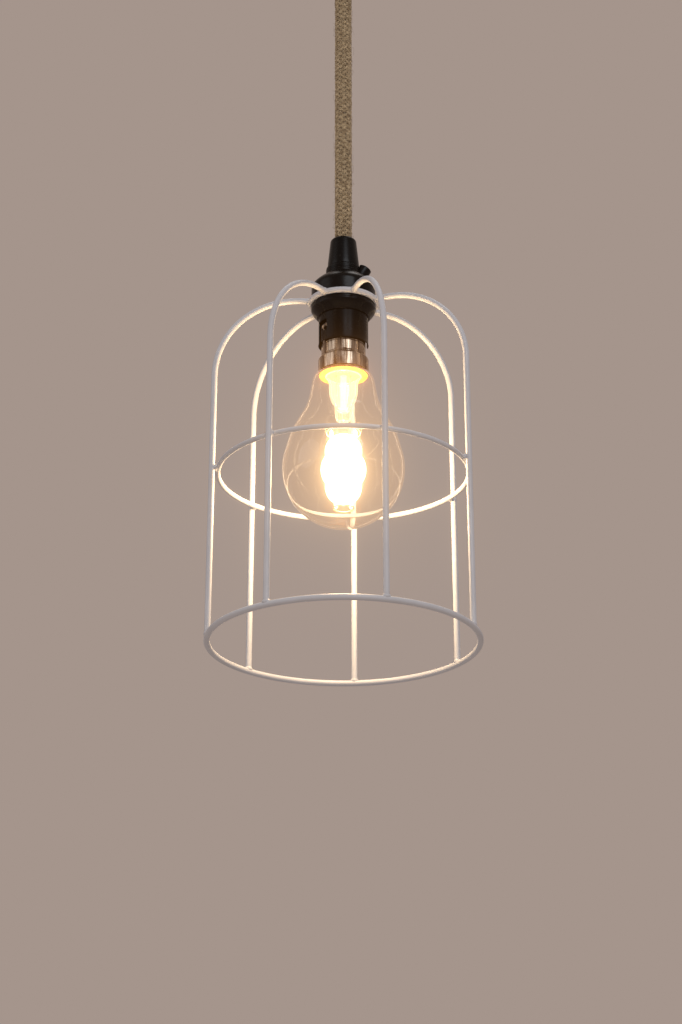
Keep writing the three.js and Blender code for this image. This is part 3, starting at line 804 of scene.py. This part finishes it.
def make_barrel():
    """The thin barrel, with two bayonet slots whose ends dip to hold the pins, and a rolled rim."""
    sides = {round(a % 360, 4) for seat in pin_bearings() for a in
             (seat - SLOT_TURN - SLOT_HALF, seat - SLOT_TURN + SLOT_HALF, seat - SLOT_HALF, seat + SLOT_HALF)}
    angles = sorted(sides | {k * FACET for k in range(int(360 / FACET))})
    kept = [a for i, a in enumerate(angles) if i == 0 or a - angles[i - 1] > 0.4 or a % FACET > 1e-3]
    bm = bmesh.new()
    rows = []
    for z in BARREL_ROWS:
        radius = BARREL_RADIUS + 0.18 * MM * max(0.0, (z - 22.6) / 0.9)
        rows.append([bm.verts.new((radius * math.cos(math.radians(a)), radius * math.sin(math.radians(a)),
                                   drop(z))) for a in kept])
    for i in range(len(rows) - 1):
        z = (BARREL_ROWS[i] + BARREL_ROWS[i + 1]) / 2
        for k, a in enumerate(kept):
            nxt = (k + 1) % len(kept)
            b = kept[nxt] + (0 if nxt else 360)
            if not in_slot((a + b) / 2, z):
                bm.faces.new((rows[i][k], rows[i][nxt], rows[i + 1][nxt], rows[i + 1][k]))
    loose = [v for v in bm.verts if not v.link_faces]
    bmesh.ops.delete(bm, geom=loose, context="VERTS")
    barrel = piece("holder_barrel_shell", bm, BARREL_PAINT)
    wall = barrel.modifiers.new("wall", "SOLIDIFY")
    wall.thickness = BARREL_WALL
    wall.offset = -1
    bake(barrel)
    soften(barrel, 0.1 * MM, 2, 50)
    finished(barrel, "pendant", "black_metal", "holder_barrel")


def in_slot(angle, dropped):
    """Whether a spot on the barrel is in a slot: on the way in, across, or at its seat."""
    for seat in pin_bearings():
        off = (angle - seat + 180) % 360 - 180
        entry = abs(off + SLOT_TURN) < SLOT_HALF and dropped > SLOT_TOP
        across = -SLOT_TURN - SLOT_HALF < off < SLOT_HALF and SLOT_TOP < dropped < SLOT_LEVEL
        rest = abs(off) < SLOT_HALF and SLOT_TOP < dropped < SLOT_SEAT
        if entry or across or rest:
            return True
    return False


SPRING_WIRE = 0.27 * MM
SPRING_COIL = 2 * MM        # the radius of a spring's coil


def make_contact_springs():
    """The coils behind the contact plungers, which shorten as a lamp is pressed in."""
    for name in ("contact_spring_live", "contact_spring_neutral"):
        low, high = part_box(name)
        centre = (low + high) / 2
        tall = high.z - low.z - 2 * SPRING_WIRE
        coil = [Vector((centre.x + SPRING_COIL * math.cos(k * math.pi / 12),
                        centre.y + SPRING_COIL * math.sin(k * math.pi / 12),
                        low.z + SPRING_WIRE + tall * k / 120)) for k in range(121)]
        spring = finished(wires(name + "_coil", [coil], SPRING_WIRE, STEEL, 12), "pendant", "steel", name)
        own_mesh(spring)


def make_shade_ring():
    """The threaded ring whose flange clamps the cage."""
    outline = [(12.3, 8.3), (13.1, 8.3, 0.3), (13.9, 7.2, 0.8), (15.3, 5.6, 1.6), (16.15, 4.0, 0.6),
               (16.15, 3.2, 0.2), (15.95, 3.0, 0.15), (16.15, 2.8, 0.2), (16.15, 1.8, 0.3), (12.3, 1.8)]
    ring = turned("shade_ring_body", outline, BLACK_PAINT, 0.25)
    return finished(ring, "shade_ring", "black_metal", "shade_ring")


make_grip_sleeve()
make_holder_cap()
make_lock_screw()
make_barrel()
make_contact_springs()
make_shade_ring()
make_neck_thread()


# ------------------------------------------------------------------ lamp
LAMP_CENTRE = 89.0          # the ball's middle, mm below the clamped ring
BALL_RADIUS = 30            # mm
GLASS_WALL = 0.8            # mm
LEAD_RADIUS = 0.32 * MM
STICK_RADIUS = 0.95 * MM
STICK_END = 1 / 24          # the part of a light stick that each rounded end takes
BRIDGE_RADIUS = 5 * MM      # where the sticks' lower ends stand, from the axis
YOKE_RADIUS = 8.4 * MM      # and their upper ends
# Each lead wire's loop, as mm from the axis and drops.
LEAD_LOOP = [(2.2, 64.2), (3.3, 66.2), (5.4, 65.6), (7.6, 65.0), (9.2, 66.4), (8.7, 69.4)]


def make_lamp_glass():
    """One continuous glass wall, from the neck in the cap round the ball to its foot. Each outer point has
    an inner one, a wall's thickness in along the normal."""
    neck = [(12.1, 38.4), (14.1, 39.9), (15.3, 42.7), (16.2, 47.6), (17.2, 52.6), (19.2, 58.2), (22.5, 64.3),
            (26.1, 71.5)]
    ball = arc(0, LAMP_CENTRE, BALL_RADIUS, -15, 90, 44)
    upper = curve_through([(r, z, 0) for r, z in neck + ball[:1]], 7)
    outer = [(point.x, point.y) for point in upper] + ball[1:]
    inner = []
    for i, (r, z) in enumerate(outer):
        along = Vector(outer[min(len(outer) - 1, i + 1)]) - Vector(outer[max(0, i - 1)])
        along.normalize()
        inner.append((max(0.0, r - along.y * GLASS_WALL), z + along.x * GLASS_WALL))
    outer[-1] = (0, LAMP_CENTRE + BALL_RADIUS)
    inner[-1] = (0, LAMP_CENTRE + BALL_RADIUS - GLASS_WALL)
    glass = piece("lamp_glass_envelope", spun(outer + inner[::-1], 128), CLEAR_GLASS, BLOWN_CREASE)
    glass.visible_shadow = False
    return finished(glass, "lamp", "clear_glass", "lamp_glass")


def make_lamp_cap():
    """The drawn cap with its skirt, and the two pins."""
    outline = [(12.0, 38.1), (12.5, 38.1, 0.2), (12.5, 31.2, 0.5), (11.6, 30.3, 0.5), (10.6, 29.9, 0.4),
               (11.0, 29.2, 0.4), (11.0, 24.4, 0.3), (10.85, 24.1, 0.2), (11.0, 23.8, 0.3), (11, 13.2, 0.8),
               (10.2, 12, 0.5), (8.7, 12), (8.7, 12.5), (10, 12.5), (10.5, 13.4), (10.5, 29.7), (12.0, 31.4)]
    cap = turned("lamp_cap", outline, NICKEL, 0.2, 128)
    finished(cap, "lamp", "nickel", "lamp_cap_shell")
    for name in PINS:
        spot = middle(name)
        out = Vector((spot.x, spot.y, 0)).normalized()
        level = Vector((0, 0, spot.z))
        pin = piece(name + "_turned", rod(out * 10.6 * MM + level, out * 13.4 * MM + level, MM), NICKEL)
        finished(soften(pin, 0.3 * MM, 3), "lamp", "nickel", name)


def make_cement():
    """The yellow cement in the skirt, seen through the glass's shoulder."""
    outline = [(0, 39.7), (12.3, 39.7, 0.3), (11, 38.5, 0.2), (11, 38.1), (11.7, 38, 0.1), (11.7, 33.8),
               (0, 33.8)]
    plug = piece("capping_cement", spun(fillet(outline, 0.2), 96), CEMENT)
    return finished(plug, "lamp", "cement", "lamp_cement")


def make_stem():
    """The stem: a flared foot and tube blown thin, closed by the pinch that holds the lead wires."""
    outer = [(9, 40.2), (7.8, 41.6, 1.5), (7.1, 44, 2), (6.9, 50, 2), (6.2, 53, 1.5), (4.3, 56, 1.5),
             (4.0, 62, 1.2), (2.8, 64.4, 0.6), (0, 64.6)]
    inner = [(0, 59), (2.2, 58.6, 0.6), (3.2, 56, 1), (5.1, 52.6, 1.5), (6, 50, 1.5), (6.2, 44, 2),
             (7, 41.2, 1), (8.3, 40.2)]
    stem = piece("stem_tube", spun(fillet(outer + inner, 0), 96), STEM_GLASS, BLOWN_CREASE)
    stem.visible_shadow = False
    finished(stem, "lamp", "clear_glass", "glass_stem")
    pipe = [(1.6, 40), (1.6, 59.4), (1.15, 59.4), (1.15, 40)]
    tube = piece("exhaust_tube", spun(pipe, 40), STEM_GLASS, BLOWN_CREASE)
    tube.visible_shadow = False
    finished(tube, "lamp", "clear_glass")
    route = [(3.4, 40), (3.1, 48), (2.6, 56), (2.2, 64.1)]
    leads = [curve_through([(side * x * MM, 0, drop(z)) for x, z in route]) for side in (-1, 1)]
    finished(wires("stem_leads", leads, 0.35 * MM, LEAD_WIRE, 10), "lamp", "nickel")


def stick_radius(t):
    """A light stick's radius along it, with rounded ends."""
    from_end = min(t, 1 - t) / STICK_END
    return STICK_RADIUS * (math.sqrt(max(0.02, 1 - (1 - from_end) ** 2)) if from_end < 1 else 1.0)


def make_light_sticks():
    for k in range(1, 5):
        node = f"led_filament_{k}"
        low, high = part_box(node)
        spot = (low + high) / 2
        across = Vector((spot.x, spot.y, 0)).normalized()
        low_point = across * BRIDGE_RADIUS + Vector((0, 0, low.z + 0.2 * MM))
        high_point = across * YOKE_RADIUS + Vector((0, 0, high.z - 0.2 * MM))
        path = [low_point.lerp(high_point, i / 40) for i in range(41)]
        bm = bmesh.new()
        sweep(bm, path, stick_radius, 16)
        stick = piece(f"light_stick_{k}", bm, GLOW, BLOWN_CREASE)
        stick.visible_shadow = stick.visible_diffuse = False
        finished(stick, "lamp", "phosphor", node)


def make_lamp_wires():
    """Yokes over each pair of sticks, loops from the stem to them, and the ring below."""
    top = middle("filament_yoke_left").z
    for name, side in (("left", -1), ("right", 1)):
        arch = [bearing(YOKE_RADIUS, side * (45 + 7.5 * k), top) for k in range(13)]
        yoke = wires(f"yoke_{name}", [arch], LEAD_RADIUS, LEAD_WIRE, 10)
        finished(yoke, "lamp", "nickel", f"filament_yoke_{name}")
        loop = curve_through([(side * x * MM, 0, drop(z)) for x, z in LEAD_LOOP])
        lead = wires(f"lead_{name}", [loop], LEAD_RADIUS, LEAD_WIRE, 10)
        finished(lead, "lamp", "nickel", f"lead_wire_{name}")
    bridge = circle_points(BRIDGE_RADIUS, middle("filament_bridge").z, 48)
    ring = wires("stick_bridge", [bridge], LEAD_RADIUS, LEAD_WIRE, 10, closed=True)
    finished(ring, "lamp", "nickel", "filament_bridge")


make_lamp_glass()
make_lamp_cap()
make_cement()
make_stem()
make_light_sticks()
make_lamp_wires()


# ------------------------------------------------------------------ cage
WIRE_RADIUS = 1.5 * MM
MIDDLE_WIRE_RADIUS = 1.25 * MM
TOP_RING_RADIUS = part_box("cage_top_ring")[1].x - WIRE_RADIUS
MIDDLE_RING_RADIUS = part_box("cage_middle_ring")[1].x - MIDDLE_WIRE_RADIUS
BOTTOM_RING_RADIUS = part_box("cage_bottom_ring")[1].x - WIRE_RADIUS
SPRING_RADIUS = 64 * MM     # where a rib's straight part starts, from the axis
SHOULDERS = [44, 38, 39.5, 44, 44, 44, 43]      # each rib's bend, in mm, as in the frame


def rib_points(at, shoulder):
    """One rib: out from the top ring, round its shoulder and down to the bottom ring."""
    points = [(TOP_RING_RADIUS + 0.6 * MM, CLAMP_Z)]
    points += arc(SPRING_RADIUS - shoulder, CLAMP_Z - shoulder, shoulder, 90, 0, 90)
    spring = CLAMP_Z - shoulder
    for k in range(1, 25):
        t = k / 24
        points.append((SPRING_RADIUS + (BOTTOM_RING_RADIUS - SPRING_RADIUS) * t,
                       spring + (BOTTOM_Z - spring) * t))
    return [bearing(r, at, z) for r, z in points]


def make_cage():
    """The seven ribs as one bent bundle, and the three hoops."""
    names = [f"cage_rib_{k}" for k in range(1, len(SHOULDERS) + 1)]
    lines = [rib_points(bearing_of(name), shoulder * MM) for name, shoulder in zip(names, SHOULDERS)]
    finished(wires("cage_ribs", lines, WIRE_RADIUS, WHITE_COAT), "cage", "white_wire", *names)
    for name, radius, z, wire_radius in (("top", TOP_RING_RADIUS, CLAMP_Z, WIRE_RADIUS),
                                         ("middle", MIDDLE_RING_RADIUS, MIDDLE_Z, MIDDLE_WIRE_RADIUS),
                                         ("bottom", BOTTOM_RING_RADIUS, BOTTOM_Z, WIRE_RADIUS)):
        hoop = wires(f"{name}_hoop", [circle_points(radius, z, 240)], wire_radius, WHITE_COAT, closed=True)
        finished(hoop, "cage", "white_wire", f"cage_{name}_ring")


def make_welds():
    """Small fused beads where each rib meets a ring."""
    touch = MIDDLE_RING_RADIUS + MIDDLE_WIRE_RADIUS + 0.15 * MM
    bm = bmesh.new()
    chance = random.Random(3)
    for k in range(len(SHOULDERS)):
        at = bearing_of(f"cage_rib_{k + 1}")
        for radius, z, size in ((TOP_RING_RADIUS + 1.35 * MM, CLAMP_Z, (1.7, 1.9, 1.75)),
                                (touch, MIDDLE_Z, (1.35, 1.6, 1.6)),
                                (BOTTOM_RING_RADIUS, BOTTOM_Z + 1.25 * MM, (1.75, 2.1, 1.5))):
            vary = chance.uniform(0.95, 1.06)
            scale = Matrix.Diagonal((size[1] * vary * MM, size[0] * vary * MM, size[2] * vary * MM, 1))
            place = Matrix.Translation(bearing(radius, at, z)) @ Matrix.Rotation(-math.radians(at), 4, "Z")
            bmesh.ops.create_uvsphere(bm, u_segments=20, v_segments=12, radius=1, matrix=place @ scale)
    finished(piece("weld_beads", bm, WHITE_COAT, BLOWN_CREASE), "cage", "white_wire")


make_cage()
make_welds()


# ------------------------------------------------------------------ ceiling rose
def make_rose():
    """The cup of the rose, and the two slotted screws in its side."""
    floor = COVER_FLOOR_Z / MM
    outline = [(6.3, floor), (31, floor, 2), (40, floor, 9), (40, -0.9, 0.3), (40, -0.2, 0.3), (38.8, -0.2, 0.3),
               (38.8, floor + 1.2, 8), (6.3, floor + 1.2)]
    cover = piece("rose_cup", spun(fillet(outline, 0.3, 10), 128, level), BLACK_PAINT)
    finished(cover, "ceiling_rose", "black_metal", "rose_cover")
    for side, name in ((-1, "rose_cover_screw_left"), (1, "rose_cover_screw_right")):
        z = middle(name).z
        head = [(0, 33.5), (1.5, 33.5), (1.5, 40.15), (3.2, 40.15, 0.3), (3.1, 41.0, 0.5), (1.9, 42.0, 0.7),
                (0, 42.1)]
        bm = spun(fillet(head, 0.1), 40, level)
        bmesh.ops.rotate(bm, verts=bm.verts, matrix=Matrix.Rotation(side * math.pi / 2, 3, "Y"))
        bmesh.ops.translate(bm, verts=bm.verts, vec=(0, 0, z))
        screw = piece(name + "_head", bm, BLACK_PAINT)
        slot_place = Matrix.Translation((side * 42.2 * MM, 0, z))
        screw = cut(screw, slab("slot", (1.4 * MM, 0.8 * MM, 8 * MM), slot_place, BLACK_PAINT))
        finished(screw, "ceiling_rose", "black_metal", name)


def make_gland():
    """The outlet under the rose, and the screw that pinches the cord in it."""
    top = COVER_FLOOR_Z / MM
    mouth = GLAND_MOUTH_Z / MM
    outline = [(6.3, mouth, 0.4), (7.3, mouth, 0.4), (8.2, mouth + 1.5, 0.6), (8.2, top - 3.3, 0.4),
               (9.8, top - 2.3, 0.4), (9.8, top - 0.3, 0.3), (6, top - 0.3), (6, top + 5.5), (4.9, top + 5.5),
               (4.9, mouth + 3.5, 0.6)]
    gland = piece("gland_body", spun(closed_fillet(outline, 0.2), 96, level), BLACK_PAINT)
    z = middle("gland_screw").z
    gland = cut(gland, piece("gland_hole", rod((0, -3 * MM, z), (0, -12 * MM, z), 1.5 * MM), BLACK_PAINT))
    finished(gland, "ceiling_rose", "black_metal", "cord_gland")
    shank = rod((0, -4.6 * MM, z), (0, -8.5 * MM, z), 1.35 * MM)
    screw = soften(piece("pinch_screw", shank, STEEL), 0.15 * MM)
    slot_place = Matrix.Translation((0, -8.6 * MM, z))
    screw = cut(screw, slab("slot", (4 * MM, 1.2 * MM, 0.5 * MM), slot_place, STEEL))
    finished(screw, "ceiling_rose", "steel", "gland_screw")


make_rose()
make_gland()

# The inner pieces keep the frame's shapes and get their finishes.
FINISHES = {
    "steel": STEEL, "white_plastic": WHITE_MOULDING, "core_live": BROWN_CORE, "core_neutral": BLUE_CORE,
    "core_earth": GREEN_CORE, "brass": BRASS, "nickel": NICKEL, "black_glass": BLACK_VITREOUS,
    "driver_board": BOARD, "jute_braid": JUTE, "black_metal": BLACK_PAINT, "clear_glass": CLEAR_GLASS,
    "phosphor": GLOW, "white_wire": WHITE_COAT, "cement": CEMENT,
}
SLOT_OF = {part["node"]: part["material_slot"] for part in frame["record"]["subparts"]}
for name, obj in frame["nodes"].items():
    obj.data.materials.clear()
    obj.data.materials.append(FINISHES[SLOT_OF[name]])


# ------------------------------------------------------------------ light and stage
LAMP_POWER = 0.25           # of each of the lamp's three lights
FLOOR_Z = -2.4


def area_light(name, place, aim, size, power, colour):
    """A soft round studio light, aimed at a place."""
    data = bpy.data.lights.new(name, "AREA")
    data.shape = "DISK"
    data.size = size
    data.energy = power
    data.color = colour
    light = bpy.data.objects.new(name, data)
    bpy.context.scene.collection.objects.link(light)
    light.location = place
    light.rotation_euler = (Vector(aim) - Vector(place)).to_track_quat("-Z", "Y").to_euler()
    light.visible_transmission = False      # else it fills the lamp glass when seen from the other side


def make_lamp_lights():
    """The light of the sticks: three soft balls one above the other, moving with the lamp."""
    body = frame["bodies"]["lamp"]
    for name, fall, radius in (("upper", 80, 9.5), ("middle", 89.5, 12), ("lower", 99, 9.5)):
        data = bpy.data.lights.new(f"lamp_light_{name}", "POINT")
        data.energy = LAMP_POWER
        data.color = (1.0, 0.68, 0.37)
        data.shadow_soft_size = radius * MM
        light = bpy.data.objects.new(data.name, data)
        bpy.context.scene.collection.objects.link(light)
        light.location = (0, 0, drop(fall))
        light.parent = body
        light.matrix_parent_inverse = body.matrix_world.inverted()


def make_stage():
    """A plain pale floor, even warm air and three soft lights."""
    bm = bmesh.new()
    placed = Matrix.Translation((0, 0, FLOOR_Z))
    bmesh.ops.create_grid(bm, x_segments=1, y_segments=1, size=30, matrix=placed)
    pale, w, inputs = material("pale_floor", Roughness=0.8)
    place = w.node("ShaderNodeTexCoord").outputs["Object"]
    shade = w.node("ShaderNodeTexNoise", {"Vector": place, "Scale": 3.0})
    w.feed(inputs["Base Color"], w.blend(shade.outputs[0], (0.84, 0.82, 0.80, 1), (0.89, 0.87, 0.85, 1)))
    piece("floor", bm, pale)
    world = bpy.data.worlds.new("studio")
    world.use_nodes = True
    background = world.node_tree.nodes["Background"]
    background.inputs["Color"].default_value = (0.376, 0.300, 0.262, 1)
    background.inputs["Strength"].default_value = 1.0
    bpy.context.scene.world = world
    aim = (0, 0, MIDDLE_Z)
    area_light("key_light", (0.7, -1.9, 0.7), aim, 1.3, 15.0, (0.88, 0.94, 1.0))
    area_light("left_light", (-2.0, -0.8, 0.3), aim, 1.8, 6.0, (0.92, 0.96, 1.0))
    area_light("top_light", (0.2, 0.5, 1.9), aim, 1.6, 9.0, (1.0, 0.98, 0.95))


def make_glare():
    """The bloom that a camera shows round the lit sticks."""
    scene = bpy.context.scene
    scene.use_nodes = True
    scene.node_tree.nodes.clear()
    w = Wiring(scene.node_tree)
    picture = w.node("CompositorNodeRLayers").outputs["Image"]
    glare = w.node("CompositorNodeGlare", {"Image": picture, "Threshold": 1.5, "Strength": 0.5, "Size": 0.26,
                                           "Maximum": 80.0, "Clamp": True, "Tint": (1.0, 0.88, 0.66, 1)},
                   glare_type="BLOOM", quality="HIGH")
    w.node("CompositorNodeComposite", {"Image": glare.outputs["Image"]})


make_lamp_lights()
make_stage()
make_glare()
bpy.context.scene.view_settings.view_transform = "Standard"
bpy.context.scene.cycles.max_bounces = 16
bpy.context.scene.cycles.caustics_refractive = False
bpy.context.scene.cycles.caustics_reflective = False
bpy.context.scene.cycles.sample_clamp_indirect = 4.0
bpy.context.scene.cycles.transmission_bounces = 12
